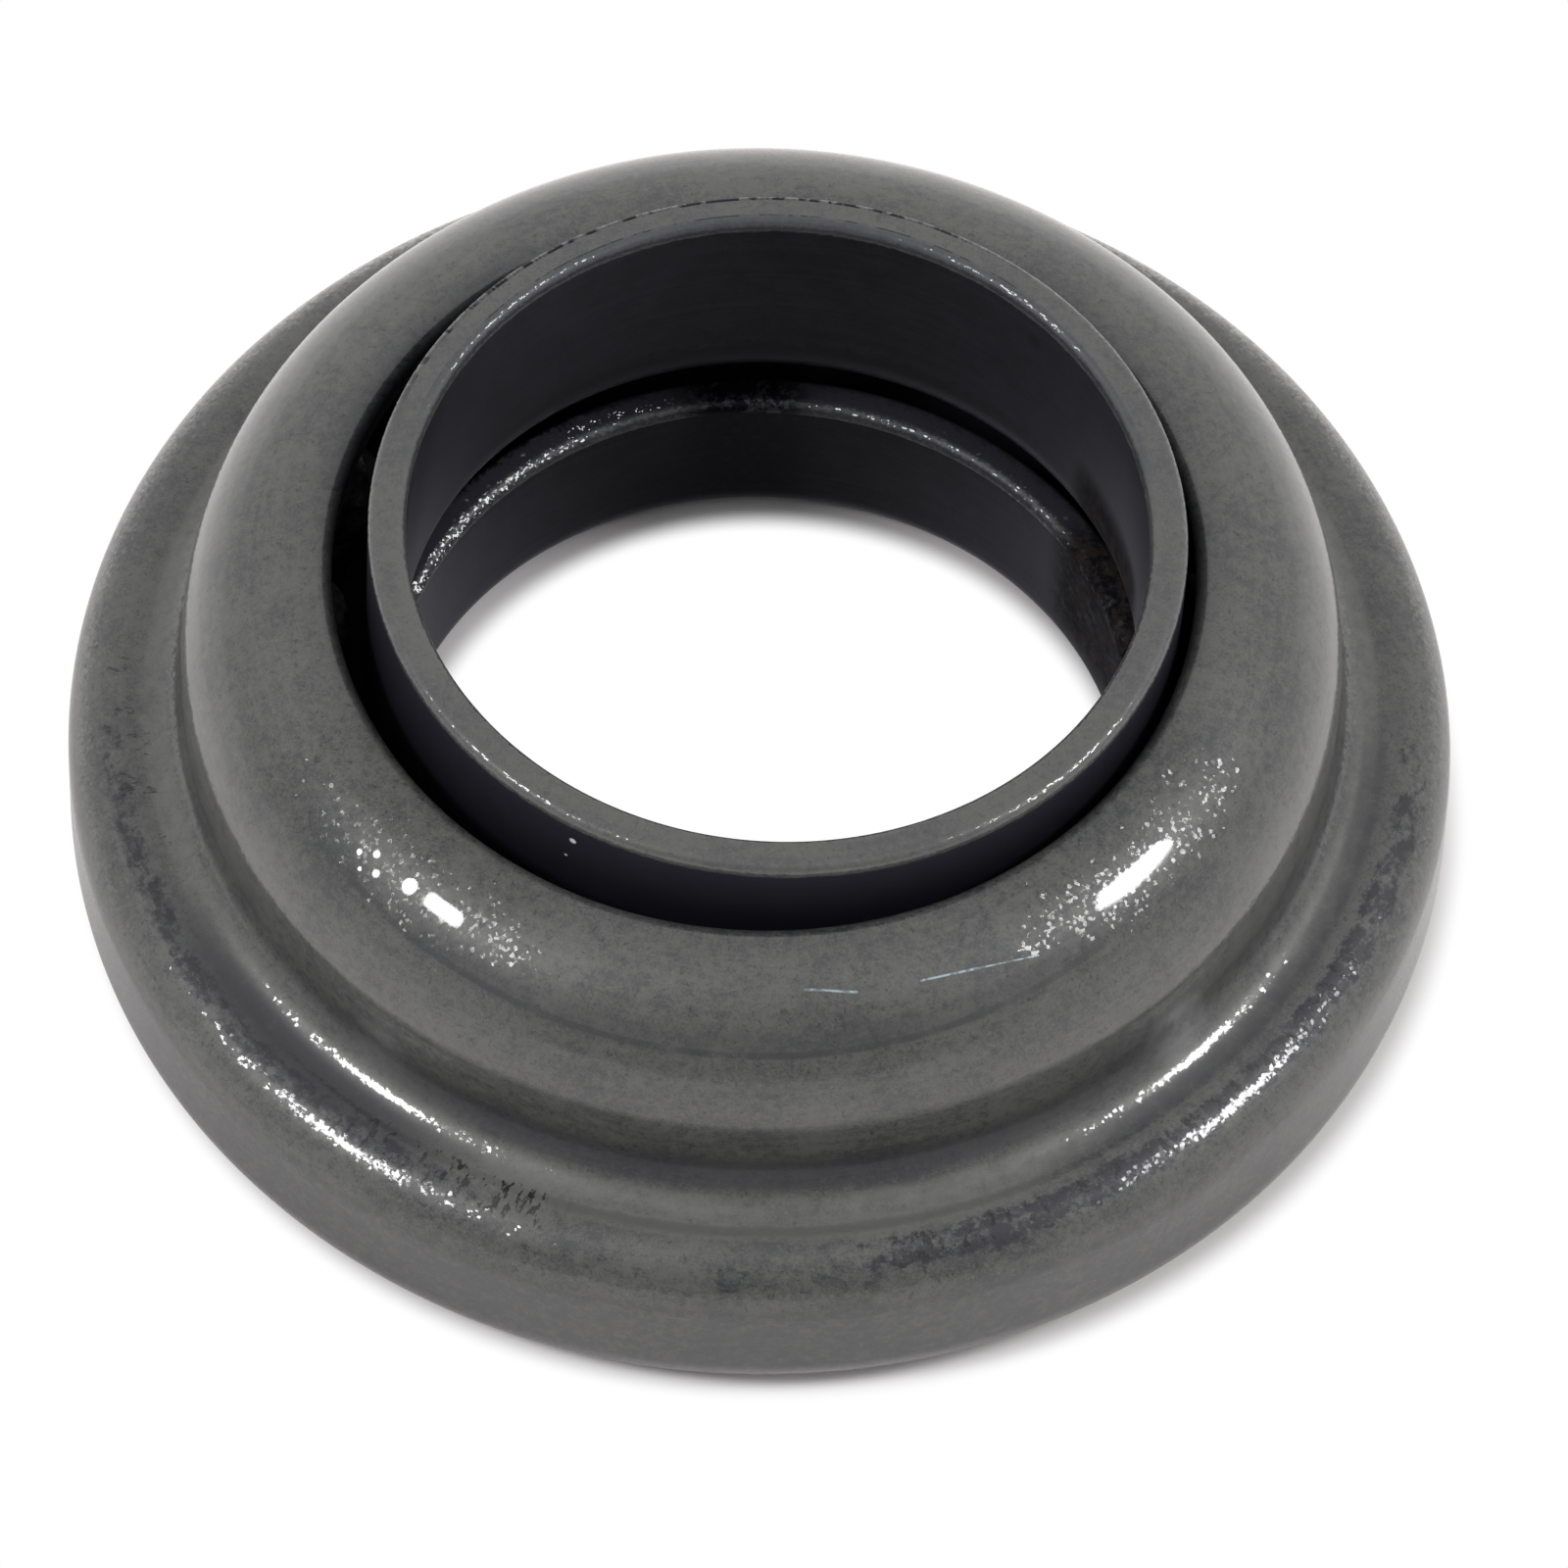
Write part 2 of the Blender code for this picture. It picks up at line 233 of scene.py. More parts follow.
class Finish:
    """A material being built, in mm. Each call adds a node or a few and gives back the last one's output.

    place and turn are the origin in metres and the angles of the piece's own axes, for a piece that leans.
    """

    def __init__(self, name, place=(0.0, 0.0, 0.0), turn=(0.0, 0.0, 0.0)):
        self.material = bpy.data.materials.new(name)
        self.material.use_nodes = True
        self.tree = self.material.node_tree
        self.shader = self.tree.nodes["Principled BSDF"]
        own = self.add("ShaderNodeMapping", vector_type="TEXTURE")
        own.inputs["Location"].default_value = place
        own.inputs["Rotation"].default_value = turn
        self.feed(own.inputs["Vector"], self.add("ShaderNodeTexCoord").outputs["Object"])
        self.spot = self.vector("SCALE", own.outputs[0], scale=1.0 / MM)
        self.flat = self.vector("MULTIPLY", self.spot, (1.0, 1.0, 0.0))
        self.radius = self.vector("LENGTH", self.flat, output="Value")
        self.outward = self.vector("NORMALIZE", self.flat)
        parts = self.add("ShaderNodeSeparateXYZ")
        self.feed(parts.inputs[0], self.spot)
        self.height = parts.outputs["Z"]

    def add(self, kind, **settings):
        node = self.tree.nodes.new(kind)
        for key, value in settings.items():
            setattr(node, key, value)
        return node

    def feed(self, socket, value):
        if isinstance(value, bpy.types.NodeSocket):
            self.tree.links.new(value, socket)
        else:
            socket.default_value = value

    def vector(self, operation, *values, scale=None, output="Vector"):
        node = self.add("ShaderNodeVectorMath", operation=operation)
        for socket, value in zip(node.inputs, values):
            self.feed(socket, value)
        if scale is not None:
            self.feed(node.inputs["Scale"], scale)
        return node.outputs[output]

    def math(self, operation, *values):
        node = self.add("ShaderNodeMath", operation=operation)
        for socket, value in zip(node.inputs, values):
            self.feed(socket, value)
        return node.outputs[0]

    def times(self, first, *others):
        for other in others:
            first = self.math("MULTIPLY", first, other)
        return first

    def plus(self, first, *others):
        for other in others:
            first = self.math("ADD", first, other)
        return first

    def ramp(self, value, low, high, bottom=0.0, top=1.0):
        """Smooth step from bottom, reached at low, to top, reached at high."""
        node = self.add("ShaderNodeMapRange", interpolation_type="SMOOTHSTEP")
        pairs = (("Value", value), ("From Min", low), ("From Max", high), ("To Min", bottom), ("To Max", top))
        for socket, number in pairs:
            self.feed(node.inputs[socket], number)
        return node.outputs[0]

    def band(self, value, low, high, soft):
        """1 between low and high, falling to 0 over soft on either side."""
        return self.times(self.ramp(value, low - soft, low), self.ramp(value, high, high + soft, 1.0, 0.0))

    def noise(self, place, scale, detail=2.0, rough=0.5):
        node = self.add("ShaderNodeTexNoise")
        for socket, value in (("Vector", place), ("Scale", scale), ("Detail", detail), ("Roughness", rough)):
            self.feed(node.inputs[socket], value)
        return node.outputs["Fac"]

    def cells(self, place, scale):
        node = self.add("ShaderNodeTexVoronoi")
        self.feed(node.inputs["Vector"], place)
        self.feed(node.inputs["Scale"], scale)
        return node.outputs["Color"]

    def blend(self, share, low, high):
        node = self.add("ShaderNodeMix", data_type="RGBA")
        for socket, value in ((node.inputs[0], share), (node.inputs[6], low), (node.inputs[7], high)):
            self.feed(socket, value if isinstance(value, (float, bpy.types.NodeSocket)) else (*value, 1.0))
        return node.outputs[2]

    def turned(self, around, across):
        """Noise place that follows the spin: around steps per radian, across steps per mm out or up."""
        place = self.add("ShaderNodeCombineXYZ")
        self.feed(place.inputs[1], self.times(self.height, across))
        self.feed(place.inputs[2], self.times(self.radius, across))
        return self.vector("ADD", place.outputs[0], self.vector("SCALE", self.outward, scale=around))

    def near(self, point, inner, outer):
        """1 within inner of a point, 0 beyond outer."""
        return self.ramp(self.vector("DISTANCE", self.spot, point, output="Value"), inner, outer, 1.0, 0.0)

    def facing(self, azimuth):
        """The cosine of the angle to an azimuth. 0 is -Y, and it grows towards +X."""
        turn = math.radians(azimuth)
        aim = (math.sin(turn), -math.cos(turn), 0.0)
        return self.vector("DOT_PRODUCT", self.outward, aim, output="Value")

    def side(self, azimuth, half, soft):
        """1 within half degrees of an azimuth, 0 from half + soft on."""
        edges = math.cos(math.radians(half + soft)), math.cos(math.radians(half))
        return self.ramp(self.facing(azimuth), *edges)

    def stroke(self, start, end, width):
        """1 on the straight line from start to end, 0 from width away on."""
        along = Vector(end) - Vector(start)
        away = self.vector("SUBTRACT", self.spot, start)
        share = self.vector("DOT_PRODUCT", away, along / along.length_squared, output="Value")
        share = self.math("MINIMUM", self.math("MAXIMUM", share, 0.0), 1.0)
        gap = self.vector("DISTANCE", away, self.vector("SCALE", along, scale=share), output="Value")
        return self.ramp(gap, 0.4 * width, width, 1.0, 0.0)

    def bump(self, height, depth, strength):
        """A bump whose full height is depth mm."""
        node = self.add("ShaderNodeBump")
        node.inputs["Strength"].default_value = strength
        node.inputs["Distance"].default_value = depth * MM
        self.feed(node.inputs["Height"], height)
        return node.outputs[0]

    def set(self, **values):
        for name, value in values.items():
            self.feed(self.shader.inputs[name.replace("_", " ")], value)


# Colours of the steel and its marks, and of painted shade, a painted reflection and painted glints
PHOSPHATE = (0.075, 0.077, 0.071)
# The dark phosphate tone, also painted shade on the rim's lower front
PHOSPHATE_DARK_AND_SHADE = (0.033, 0.034, 0.035)
WORN = (0.105, 0.105, 0.098)
# Painted reflection of the lamps' glints on the dome's wall
PAINTED_REFLECTION = (0.21, 0.21, 0.21)
SCRATCH = (0.30, 0.38, 0.42)
# Stain colour, also painted shade in the fillet's corner and a painted shadow on the dome's top
STAIN_AND_SHADE = (0.014, 0.014, 0.020)
BLUED = (0.0042, 0.0044, 0.0060)
BLUED_LIGHT = (0.0105, 0.0110, 0.0140)
OUTSIDE = (0.030, 0.030, 0.042)
BLACK = (0.002, 0.002, 0.003)
DIRT = (0.022, 0.017, 0.013)
# Painted glint on the sleeve's nicks
NICK_GLINT = (0.75, 0.76, 0.78)

# The oil film's grain in cells per mm, and the facings that mirror each lamp into the camera
OIL_CELLS = 9.0
TO_LEFT_LAMP = (-0.335, -0.440, 0.833)
TO_RIGHT_LAMP = (0.386, -0.359, 0.850)

# The shell's marks in mm. Scratches, the long drop and the clean streak have a start, an end and a width.
# The painted reflection patches and the round drops have a centre and an inner and outer radius.
SCRATCHES = (((5.06, -14.60, 13.28), (6.81, -14.03, 13.20), 0.050),
             ((6.81, -14.03, 13.20), (8.56, -13.39, 13.00), 0.035),
             ((1.62, -15.12, 13.41), (3.15, -15.09, 13.30), 0.055))
# Painted reflections: lighter patches on the dome's wall where the lamps' glints on the land are mirrored
REFLECTION_PATCH_RIGHT = ((12.95, -12.29, 7.7), 0.1, 1.7)
REFLECTION_PATCH_LEFT = ((-11.11, -13.97, 7.7), 0.1, 1.5)
LONG_DROP = ((-9.64, -12.25, 13.20), (-8.91, -12.82, 13.18), 0.36)
ROUND_DROPS = (((-10.33, -11.72, 13.18), 0.20, 0.31), ((-11.89, -10.45, 13.04), 0.07, 0.14),
               ((-11.36, -10.63, 13.22), 0.09, 0.16), ((-11.36, -11.16, 12.97), 0.09, 0.17),
               ((-11.86, -10.91, 12.82), 0.05, 0.11))
CLEAN_STREAK = ((10.57, -11.49, 13.19), (12.30, -9.61, 13.19), 0.56)

# The sleeve's nicks, painted as bright glints, and the black spot in its bore, in mm, with heights counted
# from the balls' middle
NICK_GLINTS = (((-5.84, -10.98, 5.08), 0.07, 0.14), ((12.23, -2.27, 2.58), 0.07, 0.14),
         ((-6.03, -10.88, 4.16), 0.03, 0.07))
BORE_SPOT = ((7.72, 8.23, 4.78), 0.12, 0.45)


def phosphate(look):
    """The grey phosphate: cloudy, faintly streaked round the spin, and grained. Gives colour and grain."""
    cloud = look.noise(look.spot, 0.42, 4.0, 0.6)
    streak = look.noise(look.turned(1.6, 4.0), 1.0, 3.0, 0.6)
    grain = look.noise(look.spot, 12.0, 3.0, 0.8)
    mottle = look.noise(look.spot, 2.6, 4.0, 0.8)
    shade = look.plus(look.times(cloud, 0.40), look.times(streak, 0.22), look.times(grain, 0.55),
                      look.times(mottle, 0.6))
    colour = look.blend(look.ramp(shade, 0.73, 1.0), PHOSPHATE_DARK_AND_SHADE, PHOSPHATE)
    specks = look.noise(look.spot, 3.7, 5.0, 0.85)
    colour = look.blend(look.ramp(specks, 0.575, 0.62, 0.0, 0.8), colour, STAIN_AND_SHADE)
    return look.blend(look.ramp(specks, 0.36, 0.40, 0.6, 0.0), colour, WORN), grain


def oil_film(look, spread, drops=0.0, toward=(0.0, 0.0, 1.0)):
    """A mirror-like film over the steel. Its normal tilts by spread from cell to cell.

    Where drops is 1 the film is a small flat drop that faces toward.
    """
    flake = look.vector("SUBTRACT", look.cells(look.spot, OIL_CELLS), (0.5, 0.5, 0.5))
    facing = look.add("ShaderNodeNewGeometry").outputs["Normal"]
    tilted = look.vector("ADD", facing, look.vector("SCALE", flake, scale=spread))
    tilted = look.vector("SCALE", tilted, scale=look.math("SUBTRACT", 1.0, drops))
    tilted = look.vector("ADD", tilted, look.vector("SCALE", toward, scale=drops))
    look.set(Coat_Roughness=0.10, Coat_Normal=look.vector("NORMALIZE", tilted))


def dome_marks(look, colour, patch):
    """The dome's marks: a darker line and band across its front, three fine scratches, painted shadow and
    dirt by the hole, and painted reflections on its wall.
    """
    level = look.plus(look.height, look.times(look.facing(-4.0), 1.3))
    line = look.times(look.band(level, 13.44, 13.53, 0.07), look.side(-5.0, 34.0, 22.0))
    shade = look.times(look.band(level, 13.54, 13.85, 0.3), look.side(-5.0, 34.0, 26.0))
    colour = look.blend(look.times(line, look.ramp(patch, 0.3, 0.6, 0.2, 0.7)), colour, STAIN_AND_SHADE)
    colour = look.blend(look.times(shade, look.ramp(patch, 0.3, 0.6, 0.1, 0.5)), colour, PHOSPHATE_DARK_AND_SHADE)
    scratch = look.plus(*(look.stroke(*mark) for mark in SCRATCHES))
    broken = look.ramp(look.noise(look.spot, 4.0, 2.0, 0.6), 0.40, 0.55, 0.25, 0.9)
    colour = look.blend(look.times(look.math("MINIMUM", scratch, 1.0), broken), colour, SCRATCH)
    # Painted shadow of the sleeve on the dome's top at the back left and at the right, with dirt by the
    # hole's edge at the right and in flecks all round
    top = look.times(look.ramp(look.height, 12.9, 13.2), look.ramp(look.radius, 13.5, 14.4, 1.0, 0.0))
    smear = look.plus(look.side(-122.0, 16.0, 16.0), look.times(look.side(128.0, 5.0, 14.0), 0.6),
                      look.times(look.side(93.0, 4.0, 8.0), 0.4))
    flecks = look.ramp(look.noise(look.turned(34.0, 2.5), 1.0, 4.0, 0.75), 0.54, 0.64)
    smear = look.times(top, look.plus(look.times(smear, 0.5), look.times(flecks, 0.5)))
    colour = look.blend(smear, colour, STAIN_AND_SHADE)
    # Painted reflections of the lamps' glints on the dome's wall, mottled
    reflection_patches = look.plus(look.near(*REFLECTION_PATCH_RIGHT), look.times(look.near(*REFLECTION_PATCH_LEFT), 0.5))
    return look.blend(look.times(reflection_patches, look.ramp(patch, 0.35, 0.6, 0.45, 1.0)), colour, PAINTED_REFLECTION)


def upper_flange(look):
    """1 on the flange's upper half."""
    return look.ramp(look.height, 5.2, 5.9)


def lower_front(look):
    """1 on the front of the rim's lower half."""
    return look.times(look.ramp(look.height, 4.5, 5.4, 1.0, 0.0), look.side(-5.0, 40.0, 45.0))


def flange_marks(look, colour, patch, fine):
    """The flange's marks: painted shade in the fillet's corner and on the rim's lower front, a lighter ring
    at the fillet's foot, a lighter band and darker patches on the land, and stains on the rim.

    Gives the colour and the rim's stain.
    """
    upper = upper_flange(look)
    # Painted shade in the corner where the dome's wall meets the fillet, deeper at the front
    corner = look.times(look.ramp(look.height, 6.76, 7.02), look.ramp(look.height, 7.5, 8.4, 1.0, 0.0))
    corner = look.times(corner, look.plus(0.25, look.times(look.side(-2.0, 22.0, 30.0), 0.45)))
    colour = look.blend(corner, colour, STAIN_AND_SHADE)
    # A lighter ring at the fillet's foot
    foot_ring = look.times(look.band(look.radius, 18.45, 18.95, 0.25), look.band(look.height, 6.35, 6.75, 0.12))
    colour = look.blend(look.times(foot_ring, look.ramp(patch, 0.25, 0.65, 0.1, 0.6)), colour, WORN)
    front = look.times(look.band(look.radius, 19.2, 19.5, 0.25), upper, look.side(-3.0, 22.0, 16.0))
    colour = look.blend(look.times(front, 0.8), colour, WORN)
    left = look.times(look.band(look.radius, 18.95, 19.7, 0.5), upper, look.side(-46.0, 3.0, 20.0),
                      look.ramp(patch, 0.2, 0.5, 0.45, 0.95))
    right = look.times(look.band(look.radius, 18.75, 19.25, 0.25), upper, look.side(60.0, 20.0, 12.0),
                       look.ramp(patch, 0.25, 0.6, 0.2, 0.75))
    colour = look.blend(look.plus(left, right), colour, STAIN_AND_SHADE)
    # Painted shade: the front of the rim's lower half darker, in blotches
    low = look.times(lower_front(look), look.ramp(fine, 0.42, 0.58, 0.25, 0.85))
    colour = look.blend(low, colour, PHOSPHATE_DARK_AND_SHADE)
    rim_right = look.times(look.band(look.radius, 20.0, 20.5, 0.45), upper, look.side(48.0, 22.0, 26.0))
    rim_front = look.times(look.band(look.radius, 20.6, 20.9, 0.3), look.side(-5.0, 20.0, 20.0))
    rim_left = look.times(look.band(look.radius, 19.8, 20.2, 0.4), upper, look.side(-55.0, 18.0, 20.0))
    zone = look.plus(rim_right, look.times(rim_front, 0.4), look.times(rim_left, 0.8))
    blotch = look.plus(look.times(look.noise(look.turned(26.0, 3.2), 1.0, 4.0, 0.8), 0.45),
                       look.times(fine, 0.4), look.times(patch, 0.3), look.times(zone, 0.19))
    stain = look.times(look.ramp(blotch, 0.65, 0.79), look.ramp(zone, 0.0, 0.3), 0.95)
    return look.blend(stain, colour, STAIN_AND_SHADE), stain


def pit_mask(look, patch):
    """1 on the small black pits: short strokes across the land, in three groups.

    patch thins out the group on the left.
    """
    upper = upper_flange(look)
    pit = look.ramp(look.noise(look.turned(62.0, 1.6), 1.0, 4.0, 0.7), 0.545, 0.585)
    zone = look.plus(look.times(look.side(-28.0, 9.0, 4.0), look.band(look.radius, 19.2, 20.25, 0.15)),
                     look.times(look.side(-80.0, 9.0, 8.0), look.band(look.radius, 19.0, 20.1, 0.2),
                                look.ramp(patch, 0.50, 0.56)),
                     look.times(look.side(40.0, 24.0, 6.0), look.band(look.radius, 19.9, 20.5, 0.2)))
    return look.times(pit, zone, upper)


def film_spread(look, fine):
    """How much the shell's film glitters, its weight and its drops.

    It glitters in two clouds on the dome and along the rim and the fillet.
    """
    right = look.side(49.0, 10.0, 13.0)
    dome = look.times(look.plus(look.side(-46.0, 10.0, 15.0), right), look.ramp(look.height, 11.9, 12.7))
    drops = look.plus(look.stroke(*LONG_DROP), *(look.near(*drop) for drop in ROUND_DROPS))
    drops = look.math("MINIMUM", drops, 1.0)
    clean = look.math("MINIMUM", look.plus(look.stroke(*CLEAN_STREAK), drops), 1.0)
    ends = look.math("SUBTRACT", 1.0, look.plus(look.side(-37.0, 3.0, 7.0), look.side(46.0, 3.0, 7.0)))
    rim = look.times(look.band(look.radius, 20.0, 21.0, 0.2), look.plus(0.16, look.times(ends, 0.4)))
    fillet = look.times(look.band(look.radius, 18.1, 19.0, 0.2), look.plus(0.06, look.times(ends, 0.3)))
    patchy = look.ramp(fine, 0.36, 0.56, 0.35, 1.0)
    spread = look.plus(0.04, look.times(look.plus(dome, rim, fillet), patchy, 0.40))
    dull = look.math("SUBTRACT", 1.0, clean)
    dim = look.ramp(look.noise(look.spot, 7.0, 2.0, 0.7), 0.45, 0.72, 0.88, 0.45)
    dim = look.times(dim, look.plus(1.0, look.times(right, -0.3)))
    wall = look.times(look.band(look.height, 7.3, 9.6, 0.4), look.band(look.radius, 17.6, 18.0, 0.1))
    bare = look.plus(look.times(dome, dull, dim), look.times(wall, 0.8), look.times(lower_front(look), 0.4))
    return look.times(spread, dull), look.math("SUBTRACT", 1.0, bare), drops


def shell_finish():
    """The shell: grey phosphate with its marks and painted shade, shadow and reflections, under a thin film
    of oil.
    """
    look = Finish("phosphated_shell")
    colour, grain = phosphate(look)
    patch = look.noise(look.spot, 1.1, 4.0, 0.65)
    fine = look.noise(look.spot, 3.4, 4.0, 0.75)
    colour = dome_marks(look, colour, patch)
    colour, stain = flange_marks(look, colour, patch, fine)
    pits = pit_mask(look, patch)
    colour = look.blend(pits, colour, BLACK)
    look.set(Base_Color=colour, Metallic=0.3, Roughness=look.ramp(grain, 0.3, 0.7, 0.38, 0.50))
    look.set(Normal=look.bump(look.plus(grain, look.times(pits, -1.5)), 0.004, 0.6))
    spread, weight, drops = film_spread(look, fine)
    dry = look.times(stain, look.math("SUBTRACT", 0.6, look.times(look.side(46.0, 4.0, 6.0), 0.5)))
    look.set(Coat_Weight=look.times(weight, look.math("SUBTRACT", 1.0, dry)))
    oil_film(look, spread, drops, TO_LEFT_LAMP)
    return look.material


def walled(look, edge_height, soft, shade_height, dusk, black, dirt, nick_glints=0.0):
    """Colour of blued steel walls under a grey edge that begins at edge_height, uneven over soft.

    Below the height set for the shade the wall goes black, painted shade with a ragged border. The outer
    wall is lighter, painted light. The edge is darker by dusk. Black lines and brown dirt lie where black
    and dirt are 1, and painted glints on nicked spots where the last mask is 1. Gives the edge's share.
    """
    grey, grain = phosphate(look)
    smear = look.noise(look.spot, 0.8, 4.0, 0.65)
    marks = look.noise(look.turned(1.5, 6.0), 1.0, 2.0, 0.6)
    ragged = look.noise(look.spot, 2.5, 4.0, 0.75)
    wall = look.blend(look.ramp(look.plus(smear, look.times(marks, 0.6), look.times(grain, 0.7)), 0.95, 1.4),
                      BLUED, BLUED_LIGHT)
    # Painted shade: the wall goes black below the set height, where the gap under it lies in shade
    bottom_shade = look.ramp(look.plus(look.height, look.times(ragged, 1.6)), shade_height + 0.65, shade_height + 0.95, 1.0, 0.0)
    wall = look.blend(bottom_shade, wall, BLACK)
    # Painted light: the outer walls lighter than the bore, standing in for light on them in the gap
    outside = look.ramp(look.radius, 11.9, 12.3)
    wall = look.blend(look.times(outside, 0.6), wall, OUTSIDE)
    border = look.plus(look.height, look.times(ragged, soft))
    edge = look.ramp(border, edge_height + 0.35 * soft, edge_height + 0.75 * soft)
    colour = look.blend(edge, wall, look.blend(dusk, look.blend(0.35, grey, WORN), OUTSIDE))
    colour = look.blend(black, colour, BLACK)
    colour = look.blend(dirt, colour, look.blend(look.ramp(ragged, 0.4, 0.6), DIRT, BLACK))
    look.set(Base_Color=look.blend(nick_glints, colour, NICK_GLINT), Metallic=0.3)
    rough = look.ramp(look.plus(edge, look.times(grain, 0.2)), 0.0, 1.2, 0.36, 0.46)
    look.set(Roughness=look.plus(rough, look.times(dirt, 0.4)))
    look.set(Normal=look.bump(look.plus(grain, marks), 0.005, 0.5), Specular_IOR_Level=0.25)
    look.set(Specular_Tint=(0.78, 0.80, 1.0, 1.0))
    film = look.plus(0.08, look.times(edge, 0.92))
    for dull in (black, dirt, look.times(dusk, 0.5)):
        film = look.times(film, look.math("SUBTRACT", 1.0, dull))
    look.set(Coat_Weight=film)
    return edge


def sleeve_finish(place, turn):
    """The sleeve: two broken black lines, the outer one painted shadow against the dome, and a dusky inner
    edge on the far side of its rim.
    """
    look = Finish("blued_sleeve", place, turn)
    dashes = look.ramp(look.noise(look.turned(14.0, 0.4), 1.0, 3.0, 0.8), 0.45, 0.54, 0.25, 1.0)
    top = (SLEEVE_TOP - BALL_HEIGHT) / MM
    # Painted shadow: a broken dark line along the rim's outer edge on the far side, where it meets the dome
    outer = look.times(look.ramp(look.radius, 12.16, 12.21), look.ramp(look.height, top - 0.21, top - 0.15),
                       look.side(-163.0, 36.0, 24.0))
    inner = look.times(look.band(look.radius, 11.60, 11.63, 0.03), look.side(-168.0, 40.0, 25.0), 0.6)
    chamfer = look.times(look.ramp(look.radius, 11.52, 11.62, 1.0, 0.0), look.side(180.0, 50.0, 40.0), 0.5)
    black = look.plus(look.times(look.plus(outer, inner), dashes), look.near(*BORE_SPOT))
    dirt = look.times(look.side(112.0, 8.0, 7.0), look.ramp(look.height, 0.2, 1.6, 1.0, 0.0))
    # The nicks carry painted glints, bright from every side
    nick_glints = look.plus(*(look.near(*nick_glint) for nick_glint in NICK_GLINTS))
    edge = walled(look, top - 0.42, 0.25, -0.10, chamfer, black, dirt, nick_glints)
    oil_film(look, look.plus(0.03, look.times(edge, 0.20)))
    return look.material


def collar_finish():
    """The retainer: a dusky land on its collar, sooty outside, beads of oil, a black smudge, and dirt."""
    look = Finish("blued_retainer")
    ragged = look.noise(look.spot, 2.2, 4.0, 0.8)
    dusk = look.ramp(look.plus(look.radius, look.times(ragged, 0.3)), 11.82, 11.94, 0.50, 0.80)
    soot = look.ramp(look.plus(look.radius, look.times(ragged, 1.2)), 12.75, 12.95)
    soot = look.times(soot, look.plus(0.35, look.times(look.side(-125.0, 20.0, 20.0), 0.6)))
    smudge = look.times(look.side(-176.0, 4.0, 8.0), look.ramp(ragged, 0.40, 0.50, 0.3, 1.0))
    soot = look.math("MAXIMUM", soot, smudge)
    rough = look.ramp(ragged, 0.36, 0.5, 0.6, 1.0)
    dirt = look.times(look.side(110.0, 12.0, 8.0), look.ramp(look.height, 0.5, 2.5), rough)
    edge = walled(look, COLLAR_TOP / MM - 0.36, 0.12, -9.0, dusk, soot, dirt)
    beads = look.plus(look.times(look.band(look.radius, 11.42, 11.70, 0.04), look.side(-126.0, 17.0, 9.0)),
                      look.times(look.band(look.radius, 11.70, 12.00, 0.05), look.side(-156.0, 8.0, 6.0)))
    beads = look.times(beads, edge, look.ramp(look.noise(look.spot, 9.0, 1.0, 0.5), 0.53, 0.60),
                       look.ramp(ragged, 0.42, 0.56, 0.35, 1.0))
    oil_film(look, look.plus(0.03, look.times(edge, 0.5)), beads, TO_RIGHT_LAMP)
    return look.material


def shaded_greased_steel(name, tone, roughness):
    """Bearing steel under black grease, thicker in patches, and dark all over as painted shade."""
    look = Finish(name)
    grease = look.ramp(look.noise(look.spot, 1.1, 3.0, 0.6), 0.35, 0.6)
    look.set(Base_Color=look.blend(grease, tone, (0.008, 0.008, 0.009)), Metallic=0.4)
    look.set(Roughness=look.ramp(grease, 0.0, 1.0, roughness, roughness + 0.25), Specular_IOR_Level=0.2)
    look.set(Normal=look.bump(grease, 0.03, 0.4))
    return look.material


# Pieces

def place_piece(piece, material, body, node):
    """Finish a piece: its material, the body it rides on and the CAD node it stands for."""
    piece.data.materials.append(material)
    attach(piece, body)
    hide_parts(node)


def dress_bearing():
    """The three visible pressings as fine surfaces, and the balls and cage as CAD nodes."""
    spot, turn = lean_of(JOINT["inner_race_spin"])
    lean = Matrix.Translation(spot) @ turn.to_matrix().to_4x4()
    shell = revolved("bearing_shell", shell_section(), waves(3, 0.010 * MM, 7, 0.008))
    place_piece(shell, shell_finish(), "shell", "outer_race")
    retainer = revolved("retainer_ring", retainer_section(), waves(5, 0.006 * MM, 7, 0.008))
    place_piece(retainer, collar_finish(), "shell", "lower_retainer")
    sleeve = revolved("inner_sleeve", sleeve_section(), waves(7, 0.006 * MM, 5, 0.008), lean)
    place_piece(sleeve, sleeve_finish(spot, turn.to_euler()), "sleeve", "inner_race")
    # The cage and balls are dark as painted shade, deep in the gap between the races
    cage_finish = shaded_greased_steel("shaded_greased_cage", (0.05, 0.05, 0.05), 0.45)
    ball_finish = shaded_greased_steel("shaded_greased_balls", (0.08, 0.08, 0.085), 0.30)
    for name, node in NODES.items():
        if name.startswith("ball"):
            node.data.materials.clear()
            node.data.materials.append(cage_finish if name == "ball_cage" else ball_finish)


# Studio

LAMP_DISTANCE = 0.6


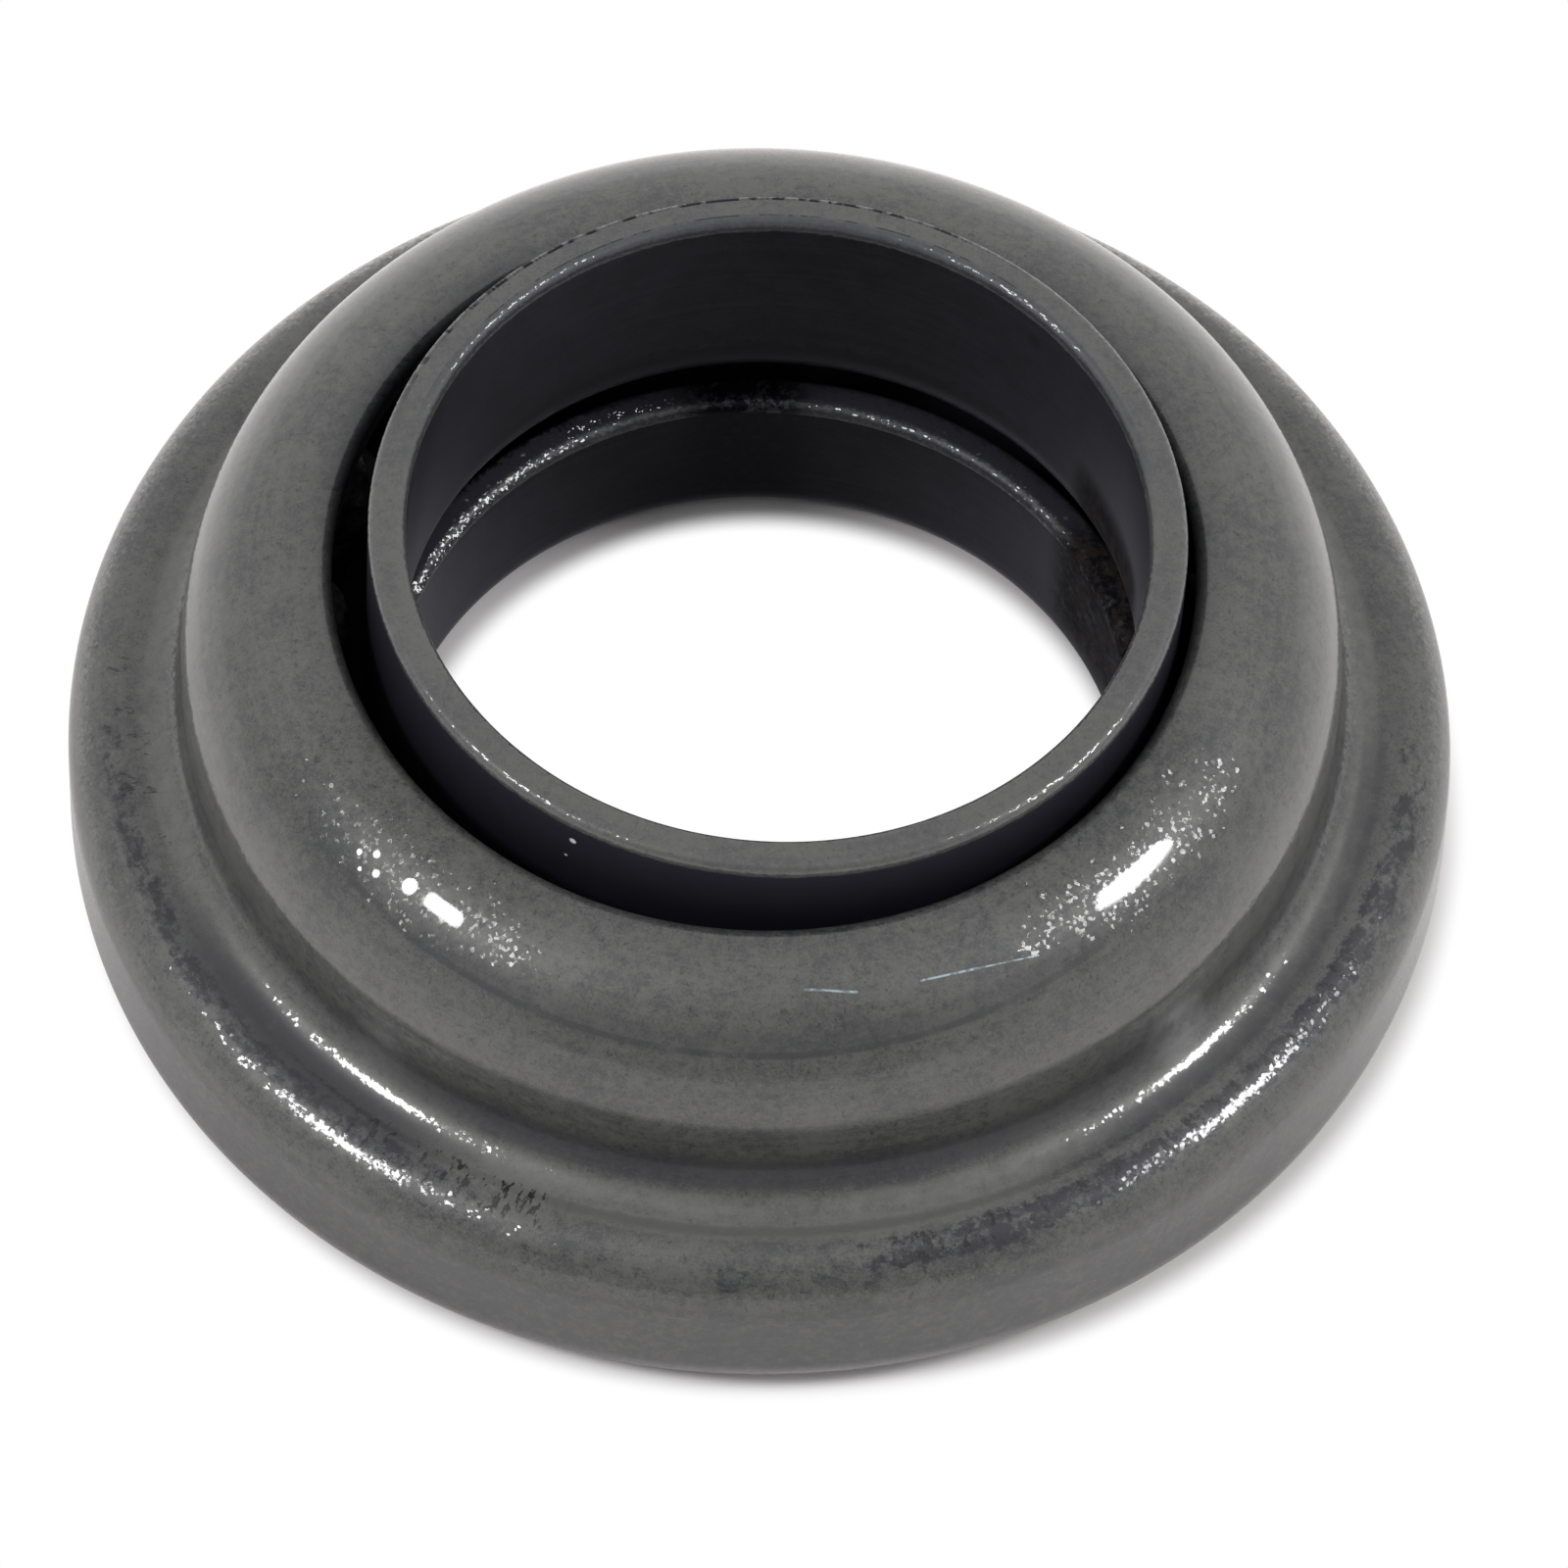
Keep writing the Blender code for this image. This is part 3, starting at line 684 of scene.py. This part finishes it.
def add_camera():
    """The photograph's view: a long lens from the front, looking down at 56 degrees, rolled a little.

    aside and below are where the centre stands in the view, in metres right of and under its middle.
    """
    down = math.radians(56.4493)
    roll = math.radians(1.7233)
    distance = 0.43
    aside = -0.0007697
    below = -0.00091375
    centre = Vector((0.0, 0.0, 0.00327))
    forward = Vector((0.0, math.cos(down), -math.sin(down)))
    right = Vector((1.0, 0.0, 0.0))
    low = Vector((0.0, -math.sin(down), -math.cos(down)))
    side = math.cos(roll) * right - math.sin(roll) * low
    under = math.sin(roll) * right + math.cos(roll) * low
    spot = centre - side * aside - under * below - forward * distance
    camera = bpy.data.cameras.new("camera")
    camera.sensor_width = 36.0
    camera.lens = 318.147
    camera.clip_start = 0.01
    camera.clip_end = 20.0
    eye = bpy.data.objects.new("camera", camera)
    rows = Matrix((side, -under, -forward)).transposed().to_4x4()
    eye.matrix_world = Matrix.Translation(spot) @ rows
    bpy.context.scene.collection.objects.link(eye)
    bpy.context.scene.camera = eye


def add_lamp(name, azimuth, elevation, width, height, radiance):
    """A soft round lamp that faces the bearing, from an azimuth and elevation in degrees.

    The azimuth is 0 on the camera's side and grows towards +X. Power follows from the radiance wanted.
    """
    lamp = bpy.data.lights.new(name, "AREA")
    lamp.shape = "ELLIPSE"
    lamp.size, lamp.size_y = width, height
    lamp.energy = radiance * math.pi * width * height * math.pi / 4.0
    thing = bpy.data.objects.new(name, lamp)
    turn, rise = math.radians(azimuth), math.radians(elevation)
    aim = Vector((math.sin(turn) * math.cos(rise), -math.cos(turn) * math.cos(rise), math.sin(rise)))
    thing.location = aim * LAMP_DISTANCE
    thing.rotation_euler = aim.to_track_quat("Z", "Y").to_euler()
    bpy.context.scene.collection.objects.link(thing)


def add_floor():
    """A white floor that keeps its shading only close round the bearing and close inside the bore."""
    half = 3.0
    mesh = bpy.data.meshes.new("floor")
    corners = [(-half, -half, 0.0), (half, -half, 0.0), (half, half, 0.0), (-half, half, 0.0)]
    mesh.from_pydata(corners, [], [(0, 1, 2, 3)])
    look = Finish("floor_white")
    look.set(Base_Color=(0.8, 0.775, 0.775, 1.0), Roughness=1.0, Specular_IOR_Level=0.0)
    around_centre, bore_centre = (0.4, 0.3, 0.0), (0.25, -0.3, 0.0)
    around = look.vector("DISTANCE", look.flat, around_centre, output="Value")
    inside = look.vector("DISTANCE", look.flat, bore_centre, output="Value")
    white = look.math("MAXIMUM", look.ramp(around, 20.8, 21.85), look.ramp(inside, 10.9, 11.9, 1.0, 0.0))
    path = look.add("ShaderNodeLightPath")
    seen = look.times(path.outputs["Is Camera Ray"], white)
    mirrored = look.times(path.outputs["Is Glossy Ray"], look.ramp(look.radius, 30.0, 120.0))
    glow = look.add("ShaderNodeEmission")
    mix = look.add("ShaderNodeMixShader")
    look.feed(mix.inputs[0], look.math("MAXIMUM", seen, mirrored))
    look.feed(mix.inputs[1], look.shader.outputs[0])
    look.feed(mix.inputs[2], glow.outputs[0])
    look.feed(look.tree.nodes["Material Output"].inputs["Surface"], mix.outputs[0])
    mesh.materials.append(look.material)
    floor = bpy.data.objects.new("floor", mesh)
    bpy.context.scene.collection.objects.link(floor)


def add_world():
    """A pale surround, dimmer low on the camera's side, and white to the camera."""
    world = bpy.data.worlds.new("studio")
    bpy.context.scene.world = world
    world.use_nodes = True
    tree = world.node_tree
    back = tree.nodes["Background"]
    back.inputs["Color"].default_value = (1.0, 1.0, 1.0, 1.0)
    path = tree.nodes.new("ShaderNodeLightPath")
    direction = tree.nodes.new("ShaderNodeTexCoord")
    front = tree.nodes.new("ShaderNodeVectorMath")
    front.operation = "DOT_PRODUCT"
    front.inputs[1].default_value = (0.0, -0.93, 0.37)
    tree.links.new(direction.outputs["Generated"], front.inputs[0])
    dim = tree.nodes.new("ShaderNodeMapRange")
    dim.interpolation_type = "SMOOTHSTEP"
    for name, value in (("From Min", 0.62), ("From Max", 0.95), ("To Min", 0.80), ("To Max", 0.45)):
        dim.inputs[name].default_value = value
    tree.links.new(front.outputs["Value"], dim.inputs["Value"])
    level = tree.nodes.new("ShaderNodeMath")
    level.operation = "MAXIMUM"
    tree.links.new(dim.outputs[0], level.inputs[0])
    tree.links.new(path.outputs["Is Camera Ray"], level.inputs[1])
    tree.links.new(level.outputs[0], back.inputs["Strength"])


dress_bearing()
add_floor()
add_world()
add_camera()
add_lamp("left_lamp", -67.0, 48.0, 0.15, 0.15, 25.0)
add_lamp("right_lamp", 82.0, 45.0, 0.16, 0.15, 25.0)

bpy.context.scene.view_settings.view_transform = "Standard"
